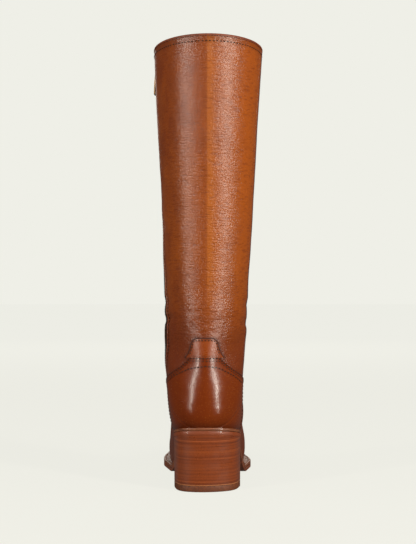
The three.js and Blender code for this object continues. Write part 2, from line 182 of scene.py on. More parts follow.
def ring_point(row, angle, grow=0.0, shrink=1.0, forward=0.0):
    """A point of the last in metres; angle 0 is lateral, 90 degrees the instep or the shin."""
    tall = math.hypot(row["high_y"] - row["low_y"], row["high_z"] - row["low_z"])
    up_y = (row["high_y"] - row["low_y"]) / tall
    up_z = (row["high_z"] - row["low_z"]) / tall
    below = row["wide"] * tall
    side, up = math.cos(angle), math.sin(angle)
    power = 2 / (row["front"] if up > 0 else row["back"])
    half = (row["lateral"] + row["medial"]) / 2 + grow
    across = shrink * half * math.copysign(abs(side) ** power, side)
    reach = (tall - below if up > 0 else below) + grow
    along = shrink * reach * math.copysign(abs(up) ** power, up)
    return MM * Vector((
        (row["lateral"] - row["medial"]) / 2 + across,
        row["low_y"] + up_y * (below + along) + forward,
        row["low_z"] + up_z * (below + along) + forward * 0.02,
    ))


def nose(turn):
    """Shrink and forward shift of the toe box at turn 1 (tip) to 0 (its first section)."""
    u = math.sin(turn * math.pi / 2)
    return max(1 - u ** NOSE_POWER, 0) ** (1 / NOSE_POWER), u * NOSE_LENGTH


def tree_of(obj):
    mesh = obj.data
    return BVHTree.FromPolygons(
        [v.co.copy() for v in mesh.vertices], [p.vertices[:] for p in mesh.polygons])


midsole_tree = tree_of(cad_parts["midsole"])
SOLE_BACK, SOLE_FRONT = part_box("midsole")[0][1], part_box("midsole")[1][1]


def feather(y):
    """Height of the midsole's top at a distance forward, both in metres."""
    y = min(max(y, SOLE_BACK + 0.003), SOLE_FRONT - 0.003)
    hit = midsole_tree.ray_cast(Vector((-0.003, y, 0.2)), Vector((0, 0, -1)))[0]
    return hit.z


def welt_edge(y, side):
    """How far the midsole reaches to one side at a distance forward, in metres."""
    level = feather(y) - 0.0012
    hit = midsole_tree.ray_cast(Vector((-0.004, y, level)), Vector((side, 0, 0)))[0]
    return hit.x if hit else -0.004


# ------------------------------------------------------------------ modelling by hand
def deselect():
    bpy.ops.object.select_all(action="DESELECT")


def active(piece):
    deselect()
    bpy.context.view_layer.objects.active = piece
    piece.select_set(True)


def sheet(name, across, along, place):
    """A grid whose points are moved to place(u, v), u and v from 0 to 1."""
    deselect()
    bpy.ops.mesh.primitive_grid_add(x_subdivisions=across, y_subdivisions=along, size=1)
    piece = bpy.context.object
    piece.name = piece.data.name = name
    for vertex in piece.data.vertices:
        vertex.co = place(vertex.co.x + 0.5, vertex.co.y + 0.5)
    return piece


def close_up(piece, merge=2e-6, fill=False):
    """Merges doubles, closes open ends if asked, and turns the faces outwards."""
    active(piece)
    bpy.ops.object.mode_set(mode="EDIT")
    bpy.ops.mesh.select_all(action="SELECT")
    bpy.ops.mesh.remove_doubles(threshold=merge)
    bpy.ops.mesh.dissolve_degenerate(threshold=1e-6)
    if fill:
        bpy.ops.mesh.select_all(action="SELECT")
        bpy.ops.mesh.fill_holes(sides=0)
    bpy.ops.mesh.select_all(action="SELECT")
    bpy.ops.mesh.normals_make_consistent(inside=False)
    bpy.ops.object.mode_set(mode="OBJECT")


def face_back(piece, height):
    """Turns a panel on the back of the boot right side out, judged at a height in metres."""
    if tree_of(piece).find_nearest(Vector((0, -0.2, height)))[1].y > 0:
        active(piece)
        bpy.ops.object.mode_set(mode="EDIT")
        bpy.ops.mesh.select_all(action="SELECT")
        bpy.ops.mesh.flip_normals()
        bpy.ops.object.mode_set(mode="OBJECT")


def modify(piece, kind, **settings):
    active(piece)
    modifier = piece.modifiers.new(kind.title(), kind)
    for name, value in settings.items():
        setattr(modifier, name, value)
    bpy.ops.object.modifier_apply(modifier=modifier.name)


def smooth(piece, degrees=40):
    active(piece)
    bpy.ops.object.shade_smooth_by_angle(angle=math.radians(degrees))


def finish(piece, material, body=BOOT, instead_of=()):
    piece.data.materials.clear()
    piece.data.materials.append(material)
    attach(piece, body)
    if instead_of:
        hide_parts(*instead_of)


def sweep(name, stations, profile, closed=False):
    """A strip along stations (point, sideways, outwards), with a closed profile [(side, out)]."""
    around, along = len(profile), len(stations) - (0 if closed else 1)

    def place(u, v):
        point, sideways, outwards = stations[round(v * along) % len(stations)]
        side, out = profile[round(u * around) % around]
        return point + sideways * side * MM + outwards * out * MM

    piece = sheet(name, around, along, place)
    close_up(piece, fill=not closed)
    return piece


def rounded(width, height):
    """A strip's profile: flat underneath with a rounded back."""
    half = width / 2
    arch = [(half * math.cos(a), height * math.sin(a) ** 0.6)
            for a in (math.radians(d) for d in range(15, 166, 25))]
    return [(-half, -0.25), (half, -0.25), (half, 0.0), *arch, (-half, 0.0)]


def spaced(path, pitch):
    """(point, direction) at every pitch along a path of points, all in metres."""
    found, due = [], pitch / 2
    for a, b in zip(path, path[1:]):
        span = (b - a).length
        while due <= span and span > 0:
            found.append((a.lerp(b, due / span), (b - a).normalized()))
            due += pitch
        due -= span
    return found


def stitches(name, path, tree, material, pitch=STITCH_PITCH, length=2.5, width=0.75,
             lift=0.12):
    """A row of thread stitches lying on a surface."""
    deselect()
    bpy.ops.mesh.primitive_uv_sphere_add(segments=8, ring_count=6, radius=1)
    pattern = bpy.context.object
    bpy.ops.object.mode_set(mode="EDIT")
    bpy.ops.mesh.select_all(action="SELECT")
    bpy.ops.transform.resize(value=(length / 2 * MM, width / 2 * MM, width * 0.42 * MM))
    bpy.ops.object.mode_set(mode="OBJECT")
    row = bmesh.new()
    for point, direction in spaced(path, pitch * MM):
        near, outwards = tree.find_nearest(point)[:2]
        along = (direction - outwards * direction.dot(outwards)).normalized()
        turn = Matrix((along, outwards.cross(along), outwards)).transposed().to_4x4()
        before = len(row.verts)
        row.from_mesh(pattern.data)
        row.verts.ensure_lookup_table()
        bmesh.ops.transform(
            row, matrix=Matrix.Translation(near + outwards * lift * MM) @ turn,
            verts=row.verts[before:])
    mesh = bpy.data.meshes.new(name)
    row.to_mesh(mesh)
    row.free()
    bpy.data.objects.remove(pattern)
    piece = bpy.data.objects.new(name, mesh)
    bpy.context.scene.collection.objects.link(piece)
    smooth(piece, 60)
    finish(piece, material)


def recast(node, name, bevel, segments=2, flat=3):
    """A merged copy of a CAD node with softened edges."""
    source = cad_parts[node]
    piece = bpy.data.objects.new(name, source.data.copy())
    bpy.context.scene.collection.objects.link(piece)
    close_up(piece, merge=1e-5)
    active(piece)
    bpy.ops.object.mode_set(mode="EDIT")
    bpy.ops.mesh.select_all(action="SELECT")
    bpy.ops.mesh.dissolve_limited(angle_limit=math.radians(flat))
    bpy.ops.object.mode_set(mode="OBJECT")
    if bevel:
        modify(piece, "BEVEL", width=bevel * MM, segments=segments, limit_method="ANGLE",
               angle_limit=math.radians(40), use_clamp_overlap=True)
    smooth(piece, 35)
    return piece


# ------------------------------------------------------------------ finishes
class Tone:
    """A value on a wire of a finish, with arithmetic."""

    def __init__(self, finish_, socket):
        self.finish, self.socket = finish_, socket

    def _sum(self, operation, left, right):
        return self.finish.add("ShaderNodeMath", {"operation": operation}, {0: left, 1: right})

    def __add__(self, other):
        return self._sum("ADD", self, other)

    def __mul__(self, other):
        return self._sum("MULTIPLY", self, other)

    __radd__, __rmul__ = __add__, __mul__


class Finish:
    """A material of one Principled surface."""

    def __init__(self, name):
        self.material = bpy.data.materials.new(name)
        self.material.use_nodes = True
        self.tree = self.material.node_tree
        self.surface = self.tree.nodes["Principled BSDF"]
        self.place = self.add("ShaderNodeTexCoord", out="Object")

    def add(self, kind, settings=None, sockets=None, out=0):
        node = self.tree.nodes.new(kind)
        for name, value in (settings or {}).items():
            setattr(node, name, value)
        for name, value in (sockets or {}).items():
            self.feed(node.inputs[name], value)
        return Tone(self, node.outputs[out])

    def feed(self, socket, value):
        if isinstance(value, Tone):
            self.tree.links.new(value.socket, socket)
        else:
            socket.default_value = value

    def grain(self, scale, detail=2.0, rough=0.5, stretch=(1, 1, 1), shift=(0, 0, 0)):
        """Noise from 0 to 1, of scale patches a metre, finer along a stretched axis."""
        at = self.add("ShaderNodeMapping", {}, {"Vector": self.place, "Location": shift,
                                                "Scale": stretch})
        return self.add("ShaderNodeTexNoise", {}, {
            "Vector": at, "Scale": scale, "Detail": detail, "Roughness": rough})

    def cells(self, scale, stretch=(1, 1, 1)):
        """Distance from the middle of each of scale cells a metre."""
        at = self.add("ShaderNodeMapping", {}, {"Vector": self.place, "Scale": stretch})
        return self.add("ShaderNodeTexVoronoi", {}, {"Vector": at, "Scale": scale}, out="Distance")

    def between(self, value, low, high, to_low=0.0, to_high=1.0):
        """A soft step from to_low to to_high as value goes from low to high."""
        return self.add("ShaderNodeMapRange", {"interpolation_type": "SMOOTHSTEP"}, {
            "Value": value, "From Min": low, "From Max": high,
            "To Min": to_low, "To Max": to_high})

    def axis(self, name):
        return self.add("ShaderNodeSeparateXYZ", {}, {"Vector": self.place}, out=name)

    def mark(self, name):
        """A painted attribute of the piece."""
        return self.add("ShaderNodeAttribute", {"attribute_name": name}, {}, out="Fac")

    def blend(self, factor, first, second):
        return self.add("ShaderNodeMix", {"data_type": "RGBA"}, {
            0: factor, 6: first, 7: second}, out=2)

    def relief(self, height, depth, under=None):
        """Bump of a depth in millimetres, over the bump under it."""
        sockets = {"Height": height, "Strength": 1.0, "Distance": depth * MM}
        if under is not None:
            sockets["Normal"] = under
        return self.add("ShaderNodeBump", {}, sockets)

    def show(self, **sockets):
        for name, value in sockets.items():
            self.feed(self.surface.inputs[name.replace("_", " ")], value)
        return self.material


def dye(red, green, blue):
    """A colour given as a paint chart gives it, 0 to 255, as linear light."""
    return tuple(
        c / 255 / 12.92 if c / 255 <= 0.04045 else ((c / 255 + 0.055) / 1.055) ** 2.4
        for c in (red, green, blue)) + (1.0,)


def tan_leather(name, light, deep, shine, pebble=1.0, gloss=0.5):
    """Aniline-dyed calf: pores, fine stretched wrinkles, darker where it is burnished and where
    painted shade lies along edges and seams, with painted light and shade across the back.

    shine is its least roughness, pebble the share of the full grain, gloss its specular level.
    """
    hide = Finish(name)
    clouds = hide.grain(11, 2, 0.5, (1, 1, 0.45))
    patches = hide.grain(60, 4, 0.6, (1, 1, 0.6), (3, 1, 7))
    specks = hide.grain(560, 2, 0.6)
    pores = hide.cells(520, (1, 1, 0.8))
    wrinkles = hide.grain(230, 4, 0.66, (0.5, 0.5, 2.6))
    fine = hide.grain(520, 3, 0.6, (0.6, 0.6, 1.9), (5, 5, 5))
    height = hide.axis("Z")
    across = hide.axis("X")
    burnish_and_shade = hide.mark("burnish_and_shade")
    fade = hide.between(clouds * 0.55 + patches * 0.45, 0.30, 0.78)
    colour = hide.blend(fade, light, deep)
    # Painted light and shade: the lateral half of the back, towards the key light, is painted a
    # little yellower and lighter, and the medial half, in its shade, darker and redder.
    colour = hide.blend(hide.between(across, -0.006, 0.003) * 0.30, hide.blend(
        0.22, colour, deep), dye(168, 88, 16))
    colour = hide.blend(hide.between(across, 0.012, 0.045) * 0.40, colour, dye(166, 80, 16))
    # A soft ridge down the middle of the back is painted on: a painted highlight along it and
    # painted shade just beside it.
    behind = hide.between(hide.axis("Y"), 0.0, -0.015) * hide.between(height, 0.165, 0.215)
    ridge_highlight = hide.between(across, -0.0012, 0.0004) * hide.between(across, 0.0110, 0.0015)
    ridge_shade = hide.between(across, -0.0075, -0.0014) * hide.between(across, 0.0002, -0.0012)
    colour = hide.blend(behind * ridge_highlight * 0.24, colour, dye(198, 118, 44))
    colour = hide.blend(behind * ridge_shade * 0.16, colour, deep)
    colour = hide.blend(hide.between(height, 0.225, 0.120) * 0.85, colour, deep)
    colour = hide.blend(hide.between(specks, 0.50, 0.80) * 0.34, colour, deep)
    colour = hide.blend(hide.between(wrinkles, 0.50, 0.32) * 0.58, colour, deep)
    colour = hide.blend(hide.between(pores, 0.30, 0.0) * 0.22, colour, dye(206, 126, 54))
    # Burnished dye and painted shade: darker along edges, seams and the welt.
    colour = hide.blend(burnish_and_shade * 0.78, colour, dye(52, 18, 7))
    creases = hide.grain(105, 3, 0.55, (0.55, 0.55, 2.0), (1, 8, 3))
    slack = hide.between(height, 0.196, 0.168) * hide.between(height, 0.146, 0.158)
    ground = (0.4 * hide.between(pores, 0.0, 0.75) * pebble + 2.3 * wrinkles * pebble
              + 0.5 * fine * pebble + 0.2 * specks * pebble + 3.6 * creases * slack * pebble)
    normal = hide.relief(ground, 0.30)
    swell = hide.relief(hide.grain(38, 2, 0.5, (1, 1, 1.6), (9, 2, 4)), 0.5, normal)
    return hide.show(
        Base_Color=colour,
        Roughness=hide.between(patches * 0.4 + fine * 0.6, 0.3, 0.7, shine, shine + 0.12),
        Specular_IOR_Level=gloss, Coat_Weight=0.05, Coat_Roughness=0.30, Normal=swell)


def thread(name, colour):
    yarn = Finish(name)
    twist = yarn.grain(1500, 2, 0.5)
    return yarn.show(
        Base_Color=yarn.blend(twist, colour, dye(26, 11, 6)),
        Roughness=0.75, Normal=yarn.relief(twist, 0.1))


def cut_edge(name, light, deep, seat=None):
    """The waxed edge of sole leather: fibres in thin layers, scuffed; seat tints it by the heel."""
    edge = Finish(name)
    fibres = edge.grain(50, 4, 0.7, (0.5, 0.5, 22))
    scuffs = edge.grain(240, 3, 0.6)
    colour = edge.blend(edge.between(fibres, 0.35, 0.68), deep, light)
    colour = edge.blend(edge.between(scuffs, 0.60, 0.74) * 0.35, colour, dye(186, 132, 92))
    if seat:
        colour = edge.blend(edge.between(edge.axis("Y"), 0.048, 0.030) * 0.9, colour, seat)
    return edge.show(
        Base_Color=colour, Roughness=edge.between(scuffs, 0.3, 0.7, 0.38, 0.62),
        Coat_Weight=0.15, Normal=edge.relief(fibres * 0.7 + scuffs * 0.4, 0.14))


def stacked_leather():
    """Thin lifts glued and sanded smooth: a tone of its own for each, with fine lines between."""
    stack = Finish("stacked_leather")
    height = stack.axis("Z")
    broad = stack.grain(7, 1, 0.5, (0.12, 0.12, 30))
    fine = stack.grain(24, 4, 0.72, (0.30, 0.30, 25), (2, 5, 1))
    hair = stack.grain(30, 2, 0.6, (0.20, 0.20, 30), (7, 1, 3))
    mottle = stack.grain(60, 3, 0.6)
    colour = stack.blend(stack.between(broad, 0.36, 0.64), dye(120, 55, 24), dye(137, 66, 29))
    colour = stack.blend(stack.between(fine, 0.50, 0.64) * 0.60, colour, dye(84, 34, 15))
    colour = stack.blend(stack.between(hair, 0.54, 0.68) * 0.50, colour, dye(178, 96, 54))
    colour = stack.blend(stack.between(mottle, 0.46, 0.72) * 0.16, colour, dye(90, 38, 18))
    colour = stack.blend(stack.mark("joint") * 0.55, colour, dye(72, 29, 14))
    colour = stack.blend(stack.between(height, 0.012, 0.0066) * 0.3, colour, dye(72, 30, 16))
    colour = stack.blend(
        stack.between(height, 0.0078, 0.0070) * 0.8, colour, dye(176, 112, 72))
    return stack.show(
        Base_Color=colour, Roughness=stack.between(mottle, 0.3, 0.7, 0.26, 0.42),
        Coat_Weight=0.45, Coat_Roughness=0.20,
        Normal=stack.relief(fine * 0.8 + hair * 0.5, 0.03))


def plain(name, colour, other, rough, scale=180, depth=0.08, metal=0.0):
    """A simple surface with fine mottling and scuffs."""
    skin = Finish(name)
    mottle = skin.grain(scale, 4, 0.6)
    wide = skin.grain(scale / 8, 2, 0.5, (1, 1, 1), (4, 4, 4))
    tone = skin.between(mottle * 0.6 + wide * 0.4, 0.34, 0.66)
    return skin.show(
        Base_Color=skin.blend(tone, colour, other),
        Roughness=skin.between(mottle, 0.3, 0.7, rough, rough + 0.16),
        Metallic=metal, Normal=skin.relief(mottle, depth))


def woven_tape():
    """Zip tape: a fine twill."""
    tape = Finish("zip_tape")
    twill = tape.add("ShaderNodeTexWave", {"bands_direction": "DIAGONAL"}, {
        "Vector": tape.place, "Scale": 900.0, "Distortion": 0.6})
    return tape.show(
        Base_Color=tape.blend(twill, dye(26, 17, 13), dye(58, 38, 28)),
        Roughness=0.8, Normal=tape.relief(twill, 0.12))


tan = tan_leather("tan_leather", dye(154, 76, 13), dye(100, 37, 5), 0.27, gloss=0.58)
tight_tan = tan_leather("tight_tan_leather", dye(148, 64, 14), dye(102, 39, 8), 0.17, 0.12, 0.34)
tab_tan = tan_leather("tab_leather", dye(154, 72, 18), dye(124, 53, 13), 0.24, 0.35, 0.45)
edge_tan = plain("leather_edge", dye(86, 34, 13), dye(58, 21, 8), 0.5)
rim_tan = plain("rolled_edge", dye(122, 56, 22), dye(88, 36, 14), 0.5)
lining_leather = plain("lining_leather", dye(190, 148, 106), dye(164, 120, 82), 0.6, 90)
dark_thread = thread("dark_thread", dye(32, 12, 6))
tan_thread = thread("tan_thread", dye(150, 84, 40))
welt_edge_finish = cut_edge("welt_leather", dye(138, 80, 46), dye(92, 46, 24))
sole_edge_finish = cut_edge("outsole_leather", dye(138, 70, 38), dye(92, 45, 24),
                            seat=dye(124, 57, 24))
rubber = plain("top_lift_rubber", dye(112, 60, 33), dye(84, 44, 24), 0.5, 300)
brass = plain("zip_metal", dye(128, 96, 58), dye(88, 62, 36), 0.34, 400, 0.02, 1.0)
tape = woven_tape()

# ------------------------------------------------------------------ the outer leather
AROUND = 160
NOSE_ROWS, BODY_ROWS = 20, 220


def ring_of_row(v):
    """Section, shrink and shift of a row of the skin: v from 0 at the toe to 1 at the collar."""
    row = v * (NOSE_ROWS + BODY_ROWS)
    if row < NOSE_ROWS:
        return (section(0), *nose(1 - row / NOSE_ROWS))
    return section((row - NOSE_ROWS) / BODY_ROWS), 1.0, 0.0


def lowest_angle(row, grow, shrink, forward):
    """The angle at which a section meets the feather line, or straight down if it is above it."""
    def clear(angle):
        point = ring_point(row, angle, grow, shrink, forward)
        return point.z > feather(point.y)
    low, high = -math.pi / 2, math.radians(60)
    if clear(low):
        return low
    for _ in range(24):
        middle = (low + high) / 2
        low, high = (low, middle) if clear(middle) else (middle, high)
    return high


def last_skin(name, grow, around=AROUND, thin=1):
    """The last's surface at an offset, open at the collar and along the feather line."""
    along = (NOSE_ROWS + BODY_ROWS) // thin
    starts = {}

    def place(u, v):
        key = round(v * along)
        if key not in starts:
            row, shrink, forward = ring_of_row(key / along)
            starts[key] = (row, shrink, forward, lowest_angle(row, grow, shrink, forward))
        row, shrink, forward, start = starts[key]
        angle = start + (math.pi - 2 * start) * u
        return ring_point(row, angle, grow, shrink, forward)

    return sheet(name, around, along, place)


def fold_relief(point, facing_out):
    """Rise of the leather over the last, in millimetres."""
    x, y, z = point / MM
    middle = SHAFT_MIDDLE + max(z - SHAFT_BEND, 0) * SHAFT_LEAN
    rise = 0.0
    for _, facing, along, height, reach, depth, width, climb, bow in FOLDS:
        if facing in ("back", "front"):
            facing_here = -facing_out.y if facing == "back" else facing_out.y
            run = x - along
        else:
            facing_here = facing_out.x if facing == "lateral" else -facing_out.x
            run = y - middle - along
        if facing_here < 0.15 or abs(run) > reach * 2:
            continue
        off = z - height - climb * run + bow * run * run
        if abs(off) > 6 * width:
            continue
        window = math.exp(-(run / reach) ** 4) * min(1.0, (facing_here - 0.15) / 0.3)
        trough = math.exp(-(off / width) ** 2)
        lips = math.exp(-((abs(off) - 2.0 * width) / (1.1 * width)) ** 2)
        rise += window * depth * (0.5 * lips - trough)
    for forward, depth, width in VAMP_BREAKS:
        if z > 20 and facing_out.z > 0.1 and abs(y - forward) < 20:
            off = y - forward - 0.010 * x * x + 2.0 * math.sin(x / 9)
            window = min(1.0, (facing_out.z - 0.1) / 0.5) * math.exp(-(x / 26) ** 4)
            rise += window * depth * (
                0.5 * math.exp(-((abs(off) - 2 * width) / width) ** 2)
                - math.exp(-(off / width) ** 2))
    # The leg of an empty boot is never quite even, and least of all above the ankle.
    loose = 0.28 + 0.55 * math.exp(-((z - 172) / 34) ** 2)
    if z < 60 or y > 100:
        loose = 0.12
    rise += loose * noise.noise(Vector((x / 34, y / 34, z / 22)))
    rise += 0.22 * loose * noise.noise(Vector((x / 13 + 7, y / 13, z / 7)))
    # A soft groove down the middle of the back panel.
    if facing_out.y < -0.5 and z > 147:
        rise -= 0.16 * math.exp(-((x + 0.5) / 1.6) ** 2)
    # Waves along both sides of the zip.
    if z > 105:
        line = straight(ZIP_LINE, z)
        off = y - line
        if facing_out.x < -0.3 and abs(off) < 26:
            waves = (0.55 * math.sin(z / 7.3) + 0.45 * math.sin(z / 11.9 + 1.0)
                     + 0.35 * math.sin(z / 4.1 + 2.0))
            rise += 0.45 * waves * math.exp(-((abs(off) - 11) / 8) ** 2)
    return rise


outer = last_skin("upper_leather", 0.0)
close_up(outer)
facings = [vertex.normal.copy() for vertex in outer.data.vertices]
for vertex, facing in zip(outer.data.vertices, facings):
    vertex.co += facing * fold_relief(vertex.co, facing) * MM
outer.data.update()
skin = tree_of(outer)


def on_skin(point):
    """The nearest point on the leather."""
    return skin.find_nearest(point)[0]


def round_heel(degrees, height, lift=0.0, tree=None):
    """The skin's point at an angle from the middle of the back, and a height in millimetres."""
    turn = math.radians(degrees)
    start = Vector((HEEL_AXIS[0] * MM, HEEL_AXIS[1] * MM, height * MM))
    direction = Vector((math.sin(turn), -math.cos(turn), 0))
    near, outwards = (tree or skin).ray_cast(start, direction)[:2]
    if near is None:
        near, outwards = (tree or skin).find_nearest(start + direction * 45 * MM)[:2]
    return near + outwards * lift * MM


def inner_point(y, z):
    """The skin's point on the inner side, at a distance forward and a height, in millimetres."""
    start = Vector((-2 * MM, y * MM, z * MM))
    near = skin.ray_cast(start, Vector((-1, 0, 0)))[0]
    if near is None:
        near = skin.find_nearest(start - Vector((40 * MM, 0, 0)))[0]
    return near


# ------------------------------------------------------------------ counter and back tab
def counter_place(u, v, lift):
    """A point of the outside counter: u from side to side, v from its foot to its top edge."""
    turn = 2 * u - 1
    span = straight(COUNTER_FRONT, 104)
    top = straight(COUNTER_TOP, abs(turn) * span)
    bottom = feather(round_heel(turn * 88, 66).y) / MM + 0.15
    height = bottom + (top - bottom) * v
    return round_heel(turn * straight(COUNTER_FRONT, height), height, lift)


def rim_dip(u, v):
    """Thins a panel towards its skived edges."""
    edge = min(min(u, 1 - u) * 22, (1 - v) * 14, 1.0)
    return edge ** 0.5


counter = sheet(
    "counter_leather", 210, 84,
    lambda u, v: counter_place(u, v, 0.55 + (COUNTER - 0.55) * rim_dip(u, v)))
close_up(counter)
face_back(counter, 0.1)
counter_skin = tree_of(counter)
modify(counter, "SOLIDIFY", thickness=1.1 * MM, offset=-1, use_even_offset=False)
modify(counter, "BEVEL", width=0.22 * MM, segments=2, limit_method="ANGLE",
       angle_limit=math.radians(55))


def tab_place(u, v, lift):
    """A point of the back tab: u from side to side, v from the seam to its rounded top."""
    side = 2 * u - 1
    corner = max(abs(side) - 0.5, 0) / 0.5
    top = TAB_TOP + 0.7 - TAB_CORNER * (1 - math.sqrt(max(1 - corner ** 2, 0)))
    height = TAB_SEAM - 1.2 + (top - TAB_SEAM + 1.2) * v
    half = straight(TAB_SIDE, height)
    return round_heel(math.degrees(math.asin(side * half / TAB_ROUND)), height, lift)


tab = sheet("tab_leather", 72, 40, lambda u, v: tab_place(
    u, v, 0.35 + 0.65 * min(min(u, 1 - u) * 12, (1 - v) * 10, 1) ** 0.5))
close_up(tab)
face_back(tab, 0.14)
tab_skin = tree_of(tab)
modify(tab, "SOLIDIFY", thickness=0.7 * MM, offset=-1)

# ------------------------------------------------------------------ seam lines
def share_at(height, angle):
    """Share of the last's length at which a line at an angle round it reaches a height."""
    low, high = 0.2, 1.0
    for _ in range(30):
        middle = (low + high) / 2
        if ring_point(section(middle), angle).z < height * MM:
            low = middle
        else:
            high = middle
    return low


def collar_line(drop, steps=120):
    """A line right round the leg, at a distance below the collar."""
    points = []
    for i in range(steps + 1):
        angle = math.radians(-90 + 360 * i / steps)
        top = ring_point(section(1), angle)
        points.append(on_skin(top - Vector((0, 0, drop * MM))))
    return points


SEAM_ANGLE = math.radians(-7)
side_seam = [on_skin(ring_point(section(share_at(z, SEAM_ANGLE)), SEAM_ANGLE))
             for z in [450 - 4 * i for i in range(86)]]
zip_heights = [101 + 344 * i / 86 for i in range(87)]
zip_line = [inner_point(through(ZIP_LINE, z), z) for z in zip_heights]
zip_tail = [inner_point(14 + 0.06 * (101 - z), z) for z in (98, 90, 82, 74, 66, 60)]
counter_top = [counter_place(i / 100, 1, COUNTER) for i in range(101)]
counter_sides = [[counter_place(u, i / 24, COUNTER) for i in range(25)] for u in (0, 1)]
tab_edge = ([tab_place(0, i / 12, 0.6) for i in range(13)]
            + [tab_place(i / 20, 1, 0.6) for i in range(1, 20)]
            + [tab_place(1, 1 - i / 12, 0.6) for i in range(13)])
feather_line = []
for side in (1, -1):
    for i in range(90):
        y = -20 + 238 * i / 89
        edge = Vector((welt_edge(y * MM, side) - side * 6 * MM, y * MM, feather(y * MM) + 0.5 * MM))
        feather_line.append(edge)


# The counter is sewn with two rows along its top edge, one down each front edge, and one more
# that arches across the back where the inner counter ends.
def counter_row(inset):
    """A line on the counter at a distance below its top edge."""
    row = []
    for i in range(121):
        u = i / 120
        low, high = counter_place(u, 0, COUNTER).z, counter_place(u, 1, COUNTER).z
        row.append(counter_place(u, 1 - inset * MM / (high - low), COUNTER))
    return row


arch_line = [round_heel(a, straight(POCKET_ARCH, a), 0, counter_skin) for a in range(-62, 61, 2)]
tab_row = ([tab_place(0.075, 0.16 + 0.72 * i / 12, 1) for i in range(13)]
           + [tab_place(0.12 + 0.76 * i / 20, 0.89, 1) for i in range(21)]
           + [tab_place(0.925, 0.88 - 0.72 * i / 12, 1) for i in range(13)])


def paint_burnish_and_shade(piece, marks):
    """Paints darker colour close to edges and seams, partly burnished dye and partly painted shade
    cast by edges, seams and the welt: marks are (points, reach in mm, strength).
    """
    trees = []
    for points, reach, strength in marks:
        tree = kdtree.KDTree(len(points))
        for i, point in enumerate(points):
            tree.insert(point, i)
        tree.balance()
        trees.append((tree, reach * MM, strength))
    layer = piece.data.attributes.new("burnish_and_shade", "FLOAT", "POINT")
    for i, vertex in enumerate(piece.data.vertices):
        value = 0.0
        for tree, reach, strength in trees:
            far = tree.find(vertex.co)[2]
            value = max(value, strength * math.exp(-(far / reach) ** 2))
        layer.data[i].value = min(value, 1.0)


collar_points = collar_line(0.5)
modify(outer, "SOLIDIFY", thickness=HIDE * MM, offset=-1, use_even_offset=False)
# Burnished dye and painted shade along the collar, seams, zip, counter and tab edges, and along the
# feather line by the welt.
paint_burnish_and_shade(outer, [
    (collar_points, 2.2, 0.9), (collar_line(3.5), 4.5, 0.42),
    (collar_line(7), 1.6, 0.45), (side_seam, 2.6, 0.6),
    (zip_line, 8.0, 0.9), (zip_tail, 2.4, 0.6), (counter_top, 1.8, 0.95),
    (counter_sides[0] + counter_sides[1], 2.6, 0.8), (tab_edge, 1.8, 1.0),
    (feather_line, 7.0, 0.55)])
# Burnished dye and painted shade along the counter's edges and rows, and painted shade over its
# foot by the welt.
paint_burnish_and_shade(counter, [
    (counter_top, 1.5, 0.9), (counter_sides[0] + counter_sides[1], 1.8, 0.85),
    (counter_row(1.8), 1.2, 0.7), (counter_row(4.4), 0.9, 0.35), (arch_line, 1.0, 0.45),
    ([counter_place(i / 60, 0, COUNTER) for i in range(61)], 6.0, 0.75)])
# Burnished dye and painted shade along the tab's edge, its stitches and the counter's top.
paint_burnish_and_shade(tab, [(tab_edge, 1.0, 1.0), (tab_row, 0.7, 0.4), (counter_top, 1.2, 0.5)])
smooth(outer, 50)
smooth(counter, 50)
smooth(tab, 50)
finish(outer, tan, instead_of=("upper",))
finish(counter, tight_tan, instead_of=("heel_counter",))
finish(tab, tab_tan, instead_of=("back_tab",))

lining = last_skin("shaft_lining", -HIDE - 0.1, 96, 2)
close_up(lining)
facings = [vertex.normal.copy() for vertex in lining.data.vertices]
for vertex, facing in zip(lining.data.vertices, facings):
    vertex.co += facing * (min(fold_relief(vertex.co, facing), 0) - 0.15) * MM
modify(lining, "SOLIDIFY", thickness=LINING * MM, offset=-1)
smooth(lining, 50)
finish(lining, lining_leather)

# ------------------------------------------------------------------ edges and seams of the leather
def along_skin(points, lift=0.0):
    """Stations (point, sideways, outwards) for a strip that follows a line on the leather."""
    stations = []
    for i, point in enumerate(points):
        ahead, behind = points[min(i + 1, len(points) - 1)], points[max(i - 1, 0)]
        near, outwards = skin.find_nearest(point)[:2]
        along = (ahead - behind).normalized()
        outwards = (outwards - along * outwards.dot(along)).normalized()
        stations.append((near + outwards * lift * MM, along.cross(outwards), outwards))
    return stations


tab_border = sweep("tab_cut_edge", along_skin(tab_edge, 0.1), rounded(1.5, 1.0))
smooth(tab_border, 60)
finish(tab_border, edge_tan)

RIM_INSET = HIDE / 2 + 0.4
rim = []
for i in range(180):
    angle = math.radians(2 * i - 90)
    top = ring_point(section(1), angle, -RIM_INSET)
    ahead = ring_point(section(1), angle + 0.02, -RIM_INSET)
    along = (ahead - top).normalized()
    outwards = along.cross(Vector((0, 0, 1))).normalized()
    rim.append((top, outwards, Vector((0, 0, 1))))
half_rim = (HIDE + LINING + 0.5) / 2
rim_profile = [(-half_rim, -1.6), (half_rim, -1.9), (half_rim + 0.15, -0.9), (half_rim - 0.1, 0.05),
               (half_rim * 0.5, 0.45), (-half_rim * 0.5, 0.45), (-half_rim + 0.1, 0.0),
               (-half_rim - 0.1, -0.8)]
collar_rim = sweep("collar_rim", rim, rim_profile, closed=True)
smooth(collar_rim, 60)
finish(collar_rim, rim_tan)

stitches("collar_stitches", collar_line(7.0, 360), skin, dark_thread,
         STITCH_PITCH, 2.3, 1.05)
stitches("collar_edge_stitches", collar_line(1.9, 360), skin, dark_thread,
         2.6, 1.7, 0.7)

